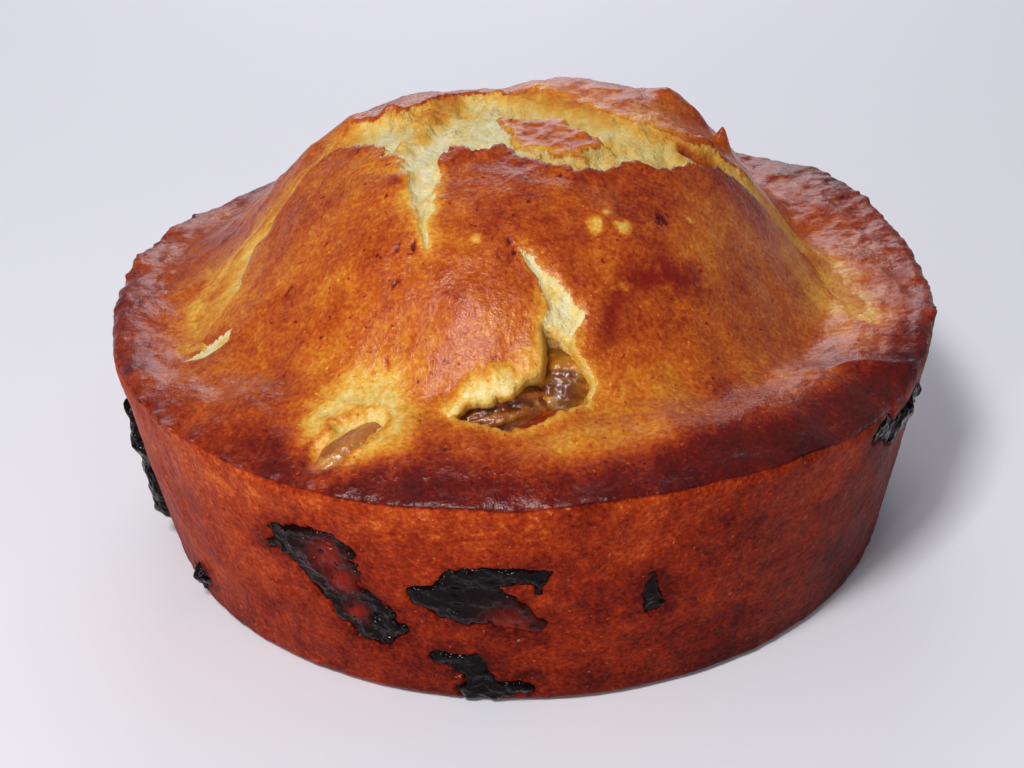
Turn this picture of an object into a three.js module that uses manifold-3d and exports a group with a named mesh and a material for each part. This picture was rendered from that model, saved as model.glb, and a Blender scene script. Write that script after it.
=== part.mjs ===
// A round plum cake, baked in a flared tin: one baked body with a cracked dome, and the pieces of plum
// that show in the openings of its crust and in its side wall. Millimetres, +Z up, resting on z = 0,
// with the large opening of the crust towards -Y.
import * as THREE from "three";
import { mergeVertices } from "three/addons/utils/BufferGeometryUtils.js";
import Module from "manifold-3d";

const { degToRad, radToDeg, lerp, smoothstep, euclideanModulo } = THREE.MathUtils;

// Driving dimensions
const baseRadius = 90;
const rimRadius = 100;
const rimHeight = 57.5;
const domeRise = 43;
const baseRounding = 1.5;
const plumGap = 0.3; // clearance between a piece of plum and the crumb that holds it

// The dome stands a little behind the middle and to the left, with a different reach and fullness on
// each side: the reach runs from its centre to its foot, and a fuller flank stays high for longer.
const domeCentre = { x: -3.5, y: 11 };
const domeReach = { front: 100, back: 75, left: 86, right: 82 };
const domeFullness = { front: 2, back: 1.2, left: 1.65, right: 2.35 };

// Where the rim rose or sank in the oven: the direction in degrees, the half-width and the rise.
const rimSwells = [
  { angle: 28, width: 14, rise: 3.6 },
  { angle: -36, width: 14, rise: -3.2 },
  { angle: -80, width: 26, rise: 1 },
  { angle: 132, width: 22, rise: -1.8 },
  { angle: 160, width: 10, rise: 1 },
];

// The rounded shoulder inside the rim: the radii where it starts, stands full and ends, its rise at the
// back and at the front, and how far forward the one begins to turn into the other and has done so.
const shoulder = {
  start: 70,
  full: 84,
  end: 100,
  backRise: 0.4,
  frontRise: 4.4,
  turnsAt: 20,
  turnedAt: 70,
};

// The great crack across the dome, between the edge of the front crust and the edge of the back crust.
const crackDepth = 3.2;
const crackShoulder = 4; // how far from its edge the crack reaches its full depth
const frontCrustEdge = [
  [-74, -31],
  [-61, -10],
  [-47, 3],
  [-33, -9],
  [-18, -18],
  [6, -22],
  [32, -20],
  [53, -6],
  [69, 0],
  [75, -14],
];
const backCrustEdge = [
  [-77, -24],
  [-67, -2],
  [-47, 7],
  [-32, 9],
  [-16, 17],
  [6, 14],
  [32, -2],
  [50, 1],
  [66, 9],
  [76, 2],
  [81, -14],
];

// Two short cracks in the front crust: [x, y] of both ends, the width at each, and the depth.
const shortCracks = [
  { from: [-21, -17], to: [-21, -43], widths: [6, 1], depth: 3 },
  { from: [8, -61], to: [0, -46], widths: [8, 1], depth: 4 },
];

// The large opening of the front crust, drawn on the slope of the dome: x across, y up the slope.
const openingCentre = new THREE.Vector3(0, -71, 67);
const openingSlope = degToRad(42);
const openingFloor = -5;
const openingOutline = [
  [-16, -3],
  [-6, 1.5],
  [2, 5],
  [4, 13.5],
  [10, 11],
  [14, 3],
  [7, -5.5],
  [-3, -13.5],
  [-12, -11],
];

// Plums under the large opening, in the same axes: centre, half sizes, and the turn in the slope.
const openingPlums = [
  { name: "crater_plum_left", at: [-6.5, -2.5, -7.6], half: [12.5, 8, 6], turn: 12, colour: 0x8a5a24 },
  { name: "crater_plum_front", at: [2, -9.5, -7.2], half: [13, 7, 6], turn: 24, colour: 0x9c3c10 },
  { name: "crater_plum_right", at: [9, 5, -8.4], half: [7.5, 12, 6], turn: -8, colour: 0xa07a2c },
];

// The strip of plum in the small opening at the foot of the dome.
const dimplePlum = { at: [-37, -78.5, 59.8], half: [8.6, 4.2, 3], turn: 36, colour: 0xb06a28 };

// Plums at the side wall: direction in degrees, height of the middle, how far they stand out of the
// wall, and their lobes: across, up, half width, half height and tilt.
const sidePlumDepth = 7;
const sidePlums = [
  { angle: -116.5, height: 30.5, proud: 0.8, lobes: [[0, 0, 21, 7.5, -57], [10.5, -10.5, 5, 4, 20]] },
  { angle: -96.5, height: 30.5, proud: 0.8, lobes: [[0, 0, 13.5, 7.5, 10]] },
  { angle: -98, height: 8, proud: 0.8, lobes: [[-3, 4, 6, 4, -20], [1, -3, 6, 5, 0], [6, -3, 6, 2, 5]] },
  { angle: -75, height: 30.5, proud: 0.6, lobes: [[0, 0, 2.5, 6.5, 6]] },
  { angle: -167, height: 24, proud: 3, lobes: [[0, 0, 6, 15, 6]] },
  { angle: -148, height: 7, proud: 3, lobes: [[0, 0, 3.5, 3.5, 0]] },
  { angle: -30, height: 44, proud: 1.2, lobes: [[1, 0, 11.5, 4.2, 6], [-10, 4, 5, 3, 20]] },
  { angle: 22, height: 24, proud: 1, lobes: [[0, 0, 10, 6, 24]] },
  { angle: 58, height: 39, proud: 0.8, lobes: [[0, 0, 7, 4.5, -18], [7, -5, 5, 3.5, 30]] },
  { angle: 84, height: 14, proud: 1, lobes: [[0, 0, 12, 6, -8]] },
  { angle: 112, height: 36, proud: 0.8, lobes: [[0, 0, 5, 11, -24]] },
  { angle: 146, height: 18, proud: 1.2, lobes: [[0, 0, 9, 5.5, 14]] },
];

// Fineness of the surfaces
const turnSegments = 64;
const wallRings = 4;
const topRings = 20;
const plumSegments = { around: 12, along: 8 };
const cutterReach = 20; // how far a cutter stands out of the floor that it cuts
const touching = 1e-4; // points nearer than this are one point

const crustColour = 0xa9561f;
const crustRoughness = 0.6;
const caramelColour = 0x1a0c08;
const caramelRoughness = 0.15;
const plumRoughness = 0.3;

const wasm = await Module();
wasm.setup();

// A closed geometry as a solid that can be cut and joined.
function toSolid(geometry) {
  const bare = geometry.clone();
  bare.deleteAttribute("normal");
  bare.deleteAttribute("uv");
  const merged = mergeVertices(bare, touching);
  const vertProperties = new Float32Array(merged.attributes.position.array);
  const triVerts = new Uint32Array(merged.index.array);
  return new wasm.Manifold(new wasm.Mesh({ numProp: 3, vertProperties, triVerts }));
}

function toGeometry(solid) {
  const { vertProperties, triVerts } = solid.getMesh();
  const geometry = new THREE.BufferGeometry();
  geometry.setAttribute("position", new THREE.BufferAttribute(vertProperties, 3));
  geometry.setIndex(new THREE.BufferAttribute(triVerts, 1));
  geometry.computeVertexNormals();
  return geometry;
}

// The signed turn from one direction to another, in degrees, between -180 and 180.
function turnBetween(from, to) {
  return euclideanModulo(to - from + 180, 360) - 180;
}

// Height of the rim at a direction given in degrees.
function rimHeightAt(angle) {
  let height = rimHeight;
  for (const swell of rimSwells) {
    height += swell.rise * Math.exp(-((turnBetween(swell.angle, angle) / swell.width) ** 2));
  }
  return height;
}

// The y of a crust edge at x, between its points, or null beyond its ends.
function edgeAt(edge, x) {
  for (let i = 1; i < edge.length; i++) {
    const [startX, startY] = edge[i - 1];
    const [endX, endY] = edge[i];
    if (x >= startX && x <= endX) {
      return lerp(startY, endY, (x - startX) / (endX - startX));
    }
  }
  return null;
}

// How far the great crack sinks the crust at (x, y).
function crackSink(x, y) {
  const front = edgeAt(frontCrustEdge, x);
  const back = edgeAt(backCrustEdge, x);
  if (front === null || back === null) return 0;
  const inside = Math.min(y - front, back - y);
  return crackDepth * smoothstep(inside, 0, crackShoulder);
}

// How far the shoulder inside the rim raises the crust at (x, y).
function shoulderRise(x, y) {
  const radius = Math.hypot(x, y);
  const rising = smoothstep(radius, shoulder.start, shoulder.full);
  const falling = smoothstep(radius, shoulder.full, shoulder.end);
  const forward = smoothstep(-y, shoulder.turnsAt, shoulder.turnedAt);
  return (rising - falling) * lerp(shoulder.backRise, shoulder.frontRise, forward);
}

// Height of the top of the cake at (x, y), from the rim over the brim to the dome.
function crustHeight(x, y) {
  const angle = radToDeg(Math.atan2(y, x));
  const outwards = Math.min(Math.hypot(x, y) / rimRadius, 1);
  const brim = rimHeight + (rimHeightAt(angle) - rimHeight) * outwards ** 4;

  const dx = x - domeCentre.x;
  const dy = y - domeCentre.y;
  const side = dx > 0 ? "right" : "left";
  const end = dy > 0 ? "back" : "front";
  const reached = Math.hypot(dx / domeReach[side], dy / domeReach[end]);
  const sideways = dx ** 2 / Math.max(dx ** 2 + dy ** 2, touching);
  const fullness = domeFullness[side] * sideways + domeFullness[end] * (1 - sideways);
  const dome = 0.5 * (1 + Math.cos(Math.PI * Math.min(reached, 1) ** fullness));
  return brim + domeRise * dome + shoulderRise(x, y) - crackSink(x, y);
}

// The outline of half the cake, from the middle of the base out, up the wall and in over the top.
function cakeOutline(proud = 0) {
  const points = [new THREE.Vector2(0, 0), new THREE.Vector2(baseRadius - baseRounding + proud, 0)];
  for (let ring = 0; ring <= wallRings; ring++) {
    const height = lerp(baseRounding, rimHeight, ring / wallRings);
    const radius = lerp(baseRadius, rimRadius, height / rimHeight);
    points.push(new THREE.Vector2(radius + proud, height));
  }
  return points;
}

// The cake before its openings are cut: a turned body whose top is raised to the crust.
function cakeBody() {
  const outline = cakeOutline();
  for (let ring = 1; ring <= topRings; ring++) {
    outline.push(new THREE.Vector2(rimRadius * (1 - ring / topRings), rimHeight));
  }
  const geometry = new THREE.LatheGeometry(outline, turnSegments);
  geometry.rotateX(Math.PI / 2);
  const position = geometry.getAttribute("position");
  for (let i = 0; i < position.count; i++) {
    const x = position.getX(i);
    const y = position.getY(i);
    const z = position.getZ(i);
    const angle = radToDeg(Math.atan2(y, x));
    const onTop = z > rimHeight - touching;
    position.setZ(i, onTop ? crustHeight(x, y) : (z * rimHeightAt(angle)) / rimHeight);
  }
  return toSolid(geometry);
}

// Everything inside the side wall, moved out by a distance: it trims the faces of the side plums.
function wallEnvelope(proud) {
  const outline = cakeOutline(proud);
  outline.push(new THREE.Vector2(0, rimHeight));
  const geometry = new THREE.LatheGeometry(outline, turnSegments);
  geometry.rotateX(Math.PI / 2);
  return toSolid(geometry);
}

// An ellipsoid with its centre, half sizes and turn about its own z, in the axes of a placement,
// grown on all sides by a margin.
function ellipsoid({ at, half, turn }, placement, margin = 0) {
  const geometry = new THREE.SphereGeometry(1, plumSegments.around, plumSegments.along);
  geometry.scale(half[0] + margin, half[1] + margin, half[2] + margin);
  geometry.rotateZ(degToRad(turn));
  geometry.translate(...at);
  geometry.applyMatrix4(placement);
  return toSolid(geometry);
}

// The axes of the large opening: x across, y up the slope of the dome, z out of the crust.
function openingPlacement() {
  const placement = new THREE.Matrix4().makeRotationX(openingSlope);
  placement.setPosition(openingCentre);
  return placement;
}

// The axes of a plum at the wall: x across as seen from outside, y up the wall, z outwards.
function wallPlacement(angle, height) {
  const direction = degToRad(angle);
  const flare = Math.atan2(rimRadius - baseRadius, rimHeight);
  const radius = lerp(baseRadius, rimRadius, height / rimHeight);
  const outwards = new THREE.Matrix4().makeRotationX(Math.PI / 2 + flare);
  const placement = new THREE.Matrix4().makeRotationZ(direction + Math.PI / 2).multiply(outwards);
  placement.setPosition(radius * Math.cos(direction), radius * Math.sin(direction), height);
  return placement;
}

function joined(solids) {
  return solids.reduce((whole, solid) => whole.add(solid));
}

// The lobes of a side plum as one solid, grown by a margin.
function sidePlumLobes({ angle, height, lobes }, margin = 0) {
  const placement = wallPlacement(angle, height);
  const solids = lobes.map(([across, up, halfWidth, halfHeight, tilt]) => {
    const lobe = { at: [across, up, 0], half: [halfWidth, halfHeight, sidePlumDepth], turn: tilt };
    return ellipsoid(lobe, placement, margin);
  });
  return joined(solids);
}

// The cutter of the large opening: its outline, from the floor out through the crust.
function openingCutter() {
  const outline = new THREE.Shape(openingOutline.map(([x, y]) => new THREE.Vector2(x, y)));
  const geometry = new THREE.ExtrudeGeometry(outline, { depth: cutterReach, bevelEnabled: false });
  geometry.translate(0, 0, openingFloor);
  geometry.applyMatrix4(openingPlacement());
  return toSolid(geometry);
}

// The cutter of a short crack: a tapered trench whose floor follows the crust.
function shortCrackCutter({ from, to, widths, depth }) {
  const start = new THREE.Vector3(...from, crustHeight(...from) - depth);
  const end = new THREE.Vector3(...to, crustHeight(...to) - depth / 2);
  const length = start.distanceTo(end);
  const outline = new THREE.Shape([
    new THREE.Vector2(0, -widths[0] / 2),
    new THREE.Vector2(length, -widths[1] / 2),
    new THREE.Vector2(length, widths[1] / 2),
    new THREE.Vector2(0, widths[0] / 2),
  ]);
  const geometry = new THREE.ExtrudeGeometry(outline, { depth: cutterReach, bevelEnabled: false });
  const along = end.clone().sub(start).normalize();
  const across = new THREE.Vector3(0, 0, 1).cross(along).normalize();
  const out = along.clone().cross(across);
  geometry.applyMatrix4(new THREE.Matrix4().makeBasis(along, across, out).setPosition(start));
  return toSolid(geometry);
}

function plumMesh(name, solid, colour, roughness) {
  const material = new THREE.MeshStandardMaterial({ color: colour, roughness, metalness: 0 });
  const mesh = new THREE.Mesh(toGeometry(solid), material);
  mesh.name = name;
  return mesh;
}

const plums = new THREE.Group();
const pockets = [openingCutter(), ...shortCracks.map(shortCrackCutter)];

// Each plum under the opening gives way to the ones laid down before it.
const slope = openingPlacement();
const laidDown = [];
for (const plum of openingPlums) {
  let solid = ellipsoid(plum, slope);
  for (const earlier of laidDown) {
    solid = solid.subtract(earlier);
  }
  const pocket = ellipsoid(plum, slope, plumGap);
  laidDown.push(pocket);
  pockets.push(pocket);
  plums.add(plumMesh(plum.name, solid, plum.colour, plumRoughness));
}

const upright = new THREE.Matrix4();
plums.add(plumMesh("dimple_plum", ellipsoid(dimplePlum, upright), dimplePlum.colour, plumRoughness));
pockets.push(ellipsoid(dimplePlum, upright, plumGap));

sidePlums.forEach((plum, index) => {
  const name = `side_plum_${String(index + 1).padStart(2, "0")}`;
  const solid = sidePlumLobes(plum).intersect(wallEnvelope(plum.proud));
  plums.add(plumMesh(name, solid, caramelColour, caramelRoughness));
  pockets.push(sidePlumLobes(plum, plumGap));
});

const cakeMaterial = new THREE.MeshStandardMaterial({
  color: crustColour,
  roughness: crustRoughness,
  metalness: 0,
});
const cake = new THREE.Mesh(toGeometry(cakeBody().subtract(joined(pockets))), cakeMaterial);
cake.name = "cake";

const group = new THREE.Group();
group.add(cake, plums);

export default group;
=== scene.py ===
"""The looks of the plum cake: a cracked golden crust, a dark brim, a red-brown side and pieces of plum.

Lengths are millimetres until a mesh is made. The cake rests on z = 0 with its large opening towards -Y.
"""

import itertools
import math
from types import SimpleNamespace

import bpy
import numpy as np
from mathutils import Matrix, Vector


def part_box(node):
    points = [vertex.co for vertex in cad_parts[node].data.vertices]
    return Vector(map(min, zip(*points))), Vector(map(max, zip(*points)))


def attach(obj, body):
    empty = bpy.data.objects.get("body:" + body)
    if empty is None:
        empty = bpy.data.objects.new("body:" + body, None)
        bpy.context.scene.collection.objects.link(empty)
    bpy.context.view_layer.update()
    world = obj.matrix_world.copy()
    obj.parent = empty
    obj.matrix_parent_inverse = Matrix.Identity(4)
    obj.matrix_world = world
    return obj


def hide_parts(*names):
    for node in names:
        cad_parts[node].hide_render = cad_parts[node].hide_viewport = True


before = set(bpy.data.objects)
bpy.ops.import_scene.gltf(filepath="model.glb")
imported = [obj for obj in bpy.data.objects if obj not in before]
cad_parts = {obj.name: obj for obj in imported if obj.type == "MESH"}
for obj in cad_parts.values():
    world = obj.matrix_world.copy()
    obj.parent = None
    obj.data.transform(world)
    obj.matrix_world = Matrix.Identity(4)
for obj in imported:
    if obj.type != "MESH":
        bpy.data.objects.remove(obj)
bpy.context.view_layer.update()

MM = 0.001

# -------- sizes

# The cake's box comes from the frame, and the rim's height and the base's share from the CAD model.
CAKE_LOW, CAKE_HIGH = (np.array(corner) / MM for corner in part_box("cake"))
RIM_RADIUS = (CAKE_HIGH[0] - CAKE_LOW[0]) / 2
BASE_RADIUS = 0.9 * RIM_RADIUS
RIM_HEIGHT = 57.5
DOME_RISE = CAKE_HIGH[2] - RIM_HEIGHT

# The dome: centre, and on each side the reach to its foot and how full its flank is.
DOME_CENTRE = (-3.5, 11)
DOME_REACH = {"front": 100, "back": 75, "left": 86, "right": 82}
DOME_FULLNESS = {"front": 2, "back": 1.2, "left": 1.65, "right": 2.35}

# Where the rim rose or sank: direction in degrees, half-width in degrees, rise.
RIM_SWELLS = [(28, 14, 3.6), (-36, 14, -3.2), (-80, 26, 1), (132, 22, -1.8), (160, 10, 1)]

# Flakes of crust that hang over the rim: direction in degrees, half-width in degrees, reach.
RIM_FLAKES = [
    (-143.5, 3, 2), (-149, 1.5, 1.2), (-137, 1.5, 1), (-12, 2, 0.7), (24, 2, 0.7), (150, 2, 0.8),
    (71, 3, 0.8),
]

# The tilt of the slope that the large opening lies in, in degrees.
OPENING_SLOPE = 42

# The depth inside a side plum that stands for "far from all of them", and the same for the crumb.
FAR_FROM_PLUMS = -50.0
FAR_FROM_CRUMB = -20.0

# The radius of the cylinder on which the side wall's noise is read.
NOISE_RADIUS = 95

# How deep a side plum goes into the wall.
PLUM_DEPTH = 4

# The base: the shares of its radius where it has rings of points, and how brown it is.
BASE_SHARES = (0.9, 0.7, 0.45, 0.2)
BASE_BROWN = 0.66

# -------- outlines on the crust, seen from above

FRONT_CRUST_EDGE = [
    (-74, -31), (-71, -23), (-67, -18), (-64, -14), (-61, -10), (-58, -6), (-55, -2), (-50, 2), (-45, 3),
    (-40, 1), (-36, -4), (-32, -10), (-26, -16), (-18, -19), (-11, -16), (-4, -15), (6, -23), (14, -24),
    (23, -23), (32, -20), (42, -13), (48, -8.5), (53, -5.5), (58, -3.5), (64, -1), (69, 0), (72, -4),
    (74, -12), (76, -24),
]
BACK_CRUST_EDGE = [
    (-78, -26), (-76, -14), (-73, -5), (-67, -2), (-62, 0.5), (-57, 3), (-52, 6), (-47, 6), (-43, 8),
    (-38, 9), (-32, 9), (-26, 11), (-20, 16), (-14, 18), (-4, 15), (6, 14), (15, 9), (22, 2), (29, -1),
    (36, -2), (42, -1), (46, 1), (50, 0.5), (54, 0), (60, 5), (66, 9), (71, 9), (76, 2), (80, -8),
    (82, -22),
]
GREAT_CRACK = FRONT_CRUST_EDGE + BACK_CRUST_EDGE[::-1]

# A piece of crust left standing inside the great crack.
ISLAND = [
    (-4, 1), (3, -1), (10, -2), (16, -6), (21, -13), (18, -16), (12, -20), (6, -19), (1, -15), (-3, -10),
]

# The narrow crack in the front crust, open to the great crack.
NARROW_CRACK = [
    (-27, -13), (-16, -15), (-18, -21), (-17.5, -25), (-19, -30), (-18.5, -34), (-20, -39), (-20, -45),
    (-23, -40), (-23.5, -34), (-25, -29), (-24.5, -23), (-26.5, -19),
]

# The crack that runs up from the large opening, and the opening itself.
OPENING_CRACK = [
    (0, -47), (2, -51), (3, -54), (5, -58), (4, -62), (10, -64), (12, -58), (9, -54), (5, -51),
]
OPENING = [
    (-16, -74), (-12, -71.5), (-6, -70), (-1, -70), (3, -67), (4, -64), (3, -61), (8, -60), (11, -63),
    (14.5, -69), (12, -73), (7, -75.5), (3, -78.5), (-3, -81), (-8, -81), (-12, -79), (-15, -76.5),
]

# The small opening at the foot of the dome, and the line of the strip of plum in it.
DIMPLE = [(-46, -76), (-44, -68), (-38, -64), (-30, -66), (-26, -73), (-29, -81), (-37, -84), (-44, -82)]
DIMPLE_STRIP = [(-43, -80), (-39, -77), (-33, -74)]

# In the great crack: a ridge of golden dough pulled up across it, and a gap under the back crust that
# sinks in and is painted dark as shade.
GOLDEN_RIDGE = [(-37, -9), (-29, -9), (-24, -3), (-20, 6), (-17, 13), (-15, 20)]
DARK_GAP = [(38, -5), (42, -4.5), (46, -2.5), (49, -3), (52, -4.5)]

# Where the crust chipped off, and small bare spots: x, y, radius.
CHIP = [(-79, -35), (-73, -31), (-67, -29), (-67.5, -33.5), (-73, -36)]
BARE_SPOTS = [(17, -40, 1.6), (20, -37, 1.1), (23.5, -39.5, 1.8), (-10, -44, 0.9), (38, -30, 0.7)]

# Fine cracks in the crust of the back and the flanks.
FINE_CRACKS = [
    [(-46, 56), (-36, 63), (-27, 62), (-18, 69)], [(22, 60), (31, 53), (38, 55)],
    [(56, 40), (62, 32), (60, 24)], [(-10, 43), (-3, 47), (7, 44)], [(-66, 34), (-61, 44)],
    [(-4, 79), (10, 82), (22, 79)],
]

# Small dark tears: x, y, radius.
TEARS = [
    (-27.7, -49.6, 0.5), (-24.5, -44, 0.6), (-27.6, -42.6, 0.4), (30, -32, 0.7), (29.5, -34, 0.5),
    (-5.7, -47, 0.5), (-1.5, -48.5, 0.7), (-2.5, -45, 0.4), (8, -27, 0.4), (-9, -36, 0.4), (40, -38, 0.4),
    (-52, -36, 0.4), (-43, -30, 0.4), (18, -57, 0.4), (-30, -62, 0.4),
]

# Lumps of the crust: x, y, radius, rise.
LUMPS = [
    (38, 18, 6, 3.4), (24, 20, 10, 1), (12, 19, 9, 1.6), (-40, 14, 5, 2), (-27, -25, 3, 1.4),
    (-12, 22, 9, -1), (50, 10, 1.6, 5), (-30, -40, 16, 1.2), (8, -38, 15, 1), (34, -50, 14, 1.2),
    (-14, -58, 10, 1.6), (28, -74, 12, 1), (-42, -60, 9, 1.2), (60, -52, 9, 1.2), (68, 22, 9, -4),
    (-50, 16, 5, 1.6), (-8, -12, 10, 1.2), (46, -16, 9, 1), (20, -32, 9, -0.8), (-46, -32, 8, -0.8),
    (44, 14, 2.5, 2),
]

# The fold of the brim at the right, and the stain of plum beside the crack above the large opening.
BRIM_FOLD = [(70, -50), (79, -47), (86, -45.5), (95, -44)]
PLUM_STAIN = [(18, -60), (19, -55), (22, -51), (28, -47), (38, -43)]

# Browner and paler patches of the crust: x, y, radius, change.
BROWN_PATCHES = [(-4, -27, 12, 0.1), (-27, -25, 2.4, 0.24), (77, -35, 7, -0.16), (76, -24, 6, -0.16)]

# Paler stripes, below the large opening and at the feet of the crack's arms: line, half-width, change.
PALE_STRIPES = [
    ([(6, -84), (26, -80)], 5, 0.14),
    ([(-66, -2), (-76, -22)], 7, 0.12),
    ([(66, -4), (74, -16)], 6, 0.2),
]

# -------- helpers: noise and outlines


def hashed(cells, seed):
    """A repeatable number from -1 to 1 for each whole-number point of space."""
    mixed = cells[:, 0] * 374761393 + cells[:, 1] * 668265263 + cells[:, 2] * 1442695041 + seed * 974711
    mixed = mixed & 0xFFFFFFFF
    mixed = ((mixed ^ (mixed >> 13)) * 1274126177) & 0xFFFFFFFF
    mixed = mixed ^ (mixed >> 16)
    return (mixed & 0xFFFF) / 32767.5 - 1


def noise(points, size, seed=0):
    """Smooth noise from -1 to 1 at (n, 3) points, with features about size across."""
    scaled = points / size
    cells = np.floor(scaled).astype(np.int64)
    share = scaled - cells
    share = share * share * share * (share * (share * 6 - 15) + 10)
    total = np.zeros(len(points))
    for corner in itertools.product((0, 1), repeat=3):
        weight = np.prod(np.where(corner, share, 1 - share), axis=1)
        total += weight * hashed(cells + corner, seed)
    return total


def fractal(points, size, octaves=4, seed=0):
    """Noise with finer and weaker noise on top, from about -1 to 1."""
    total = np.zeros(len(points))
    for octave in range(octaves):
        finer = 2.0 ** octave
        total += noise(points + 31.7 * octave, size / finer, seed + octave) / finer
    return total / (2 - 2.0 ** (1 - octaves))


def smooth(value, start, end):
    """0 before start, 1 after end, and a smooth rise between."""
    share = np.clip((value - start) / (end - start), 0, 1)
    return share * share * (3 - 2 * share)


def bell(distance, width):
    return np.exp(-((distance / width) ** 2))


def to_stretch(x, y, ax, ay, bx, by):
    """The distance from each (x, y) to a straight stretch, and how far along it its nearest place is."""
    dx, dy = bx - ax, by - ay
    share = np.clip(((x - ax) * dx + (y - ay) * dy) / (dx * dx + dy * dy), 0, 1)
    return np.hypot(x - ax - share * dx, y - ay - share * dy), share


def distance_to_chain(x, y, chain):
    """The distance from each (x, y) to a chain of straight stretches."""
    nearest = np.full(len(x), np.inf)
    for start, end in zip(chain, chain[1:]):
        distance, _ = to_stretch(x, y, *start, *end)
        nearest = np.minimum(nearest, distance)
    return nearest


def depth_inside(x, y, outline):
    """How far each (x, y) is inside a closed outline, negative outside."""
    inside = np.zeros(len(x), bool)
    closed = [*outline, outline[0]]
    for (ax, ay), (bx, by) in zip(closed, closed[1:]):
        crosses = (ay > y) != (by > y)
        with np.errstate(divide="ignore", invalid="ignore"):
            meets = ax + (y - ay) * (bx - ax) / (by - ay)
        inside ^= crosses & (x < meets)
    return np.where(inside, 1, -1) * distance_to_chain(x, y, closed)


def depth_in_spots(x, y, spots):
    """How far each (x, y) is inside the nearest of some round spots, negative outside."""
    return np.max([size - np.hypot(x - spot_x, y - spot_y) for spot_x, spot_y, size in spots], axis=0)


# -------- the shape of the crust


def round_the_axis(radius, angle, height):
    """Points at a distance from the cake's axis, in a direction in radians, and at a height."""
    return np.stack([radius * np.cos(angle), radius * np.sin(angle), height], axis=1)


def swells(angle, bumps):
    """The sum of bumps round the rim, each (direction, half-width, size), at directions in radians."""
    total = np.zeros_like(angle)
    for direction, width, size in bumps:
        turn = np.degrees(np.angle(np.exp(1j * (angle - math.radians(direction)))))
        total += size * bell(turn, width)
    return total


def rim_height(angle):
    """The height of the rim at a direction in radians."""
    return RIM_HEIGHT + swells(angle, RIM_SWELLS)


def rim_raggedness(angle):
    """How far the torn edge of the rim reaches out, at a direction in radians."""
    around = round_the_axis(RIM_RADIUS, angle, np.zeros_like(angle))
    flakes = swells(angle, RIM_FLAKES) * (1 + 0.6 * noise(around, 1.6, seed=39))
    crumbs = 1.3 * np.maximum(noise(around, 7, seed=37) - 0.45, 0)
    return 0.6 * fractal(around, 4, 4, seed=33) + crumbs + flakes


def dome_height(x, y):
    """The smooth top of the cake, before cracks: the brim and the dome."""
    outwards = np.clip(np.hypot(x, y) / RIM_RADIUS, 0, 1)
    brim = RIM_HEIGHT + (rim_height(np.arctan2(y, x)) - RIM_HEIGHT) * outwards ** 4
    dx = x - DOME_CENTRE[0]
    dy = y - DOME_CENTRE[1]
    reach_x = np.where(dx > 0, DOME_REACH["right"], DOME_REACH["left"])
    reach_y = np.where(dy > 0, DOME_REACH["back"], DOME_REACH["front"])
    reached = np.hypot(dx / reach_x, dy / reach_y)
    sideways = dx ** 2 / np.maximum(dx ** 2 + dy ** 2, 1e-6)
    fullness_x = np.where(dx > 0, DOME_FULLNESS["right"], DOME_FULLNESS["left"])
    fullness_y = np.where(dy > 0, DOME_FULLNESS["back"], DOME_FULLNESS["front"])
    fullness = fullness_x * sideways + fullness_y * (1 - sideways)
    dome = 0.5 * (1 + np.cos(np.pi * np.clip(reached, 0, 1) ** fullness))
    return brim + DOME_RISE * dome


def crust_places(x, y):
    """What the crust's shape and colour depend on at each (x, y).

    The depths inside the cracks and openings are millimetres, negative outside. They are read at places
    pushed about by noise, which makes the torn edges ragged. gape and back_torn say from 0 to 1 how far
    the great crack opens and how sharply its back edge tore; torn and drift are fine and coarse noise.
    """
    flat = np.stack([x, y, np.zeros_like(x)], axis=1)
    push_x = 3 * fractal(flat, 8, 3, seed=1) + 1.5 * fractal(flat, 2.2, 3, seed=2)
    push_y = 3 * fractal(flat, 8, 3, seed=11) + 1.5 * fractal(flat, 2.2, 3, seed=12)
    rough = (x + push_x, y + push_y)
    calm = (x + 0.6 * push_x, y + 0.6 * push_y)
    in_great_crack = depth_inside(*rough, GREAT_CRACK) >= 0
    to_front = distance_to_chain(*rough, FRONT_CRUST_EDGE)
    to_back = distance_to_chain(*rough, BACK_CRUST_EDGE)
    front_nearer = to_front < to_back
    return SimpleNamespace(
        x=x,
        y=y,
        flat=flat,
        radius=np.hypot(x, y),
        angle=np.arctan2(y, x),
        frontness=smooth(-y, 20, 70),
        from_front=np.where(~in_great_crack & front_nearer, -to_front, to_front),
        from_back=np.where(~in_great_crack & ~front_nearer, -to_back, to_back),
        island=depth_inside(*rough, ISLAND),
        narrow=depth_inside(*calm, NARROW_CRACK),
        ridge=distance_to_chain(*rough, GOLDEN_RIDGE),
        gap=distance_to_chain(*calm, DARK_GAP),
        seam=depth_inside(*calm, OPENING_CRACK),
        opening=depth_inside(*calm, OPENING),
        dimple=depth_inside(*calm, DIMPLE),
        strip=distance_to_chain(*calm, DIMPLE_STRIP),
        fine=np.min([distance_to_chain(*rough, chain) for chain in FINE_CRACKS], axis=0),
        chip=depth_inside(x + 0.15 * push_x, y + 0.15 * push_y, CHIP),
        spots=depth_in_spots(*calm, BARE_SPOTS),
        tears=depth_in_spots(*rough, TEARS),
        gape=np.interp(x, [-76, -58, -34, 46, 60, 76], [0.15, 0.4, 1, 1, 0.55, 0.15]),
        back_torn=np.interp(x, [-44, -36, -8, 4, 38, 44, 54, 60], [0, 1, 1, 0.15, 0.15, 1, 1, 0]),
        torn=fractal(flat, 3, 4, seed=5),
        drift=fractal(flat, 13, 3, seed=49),
    )


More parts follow.
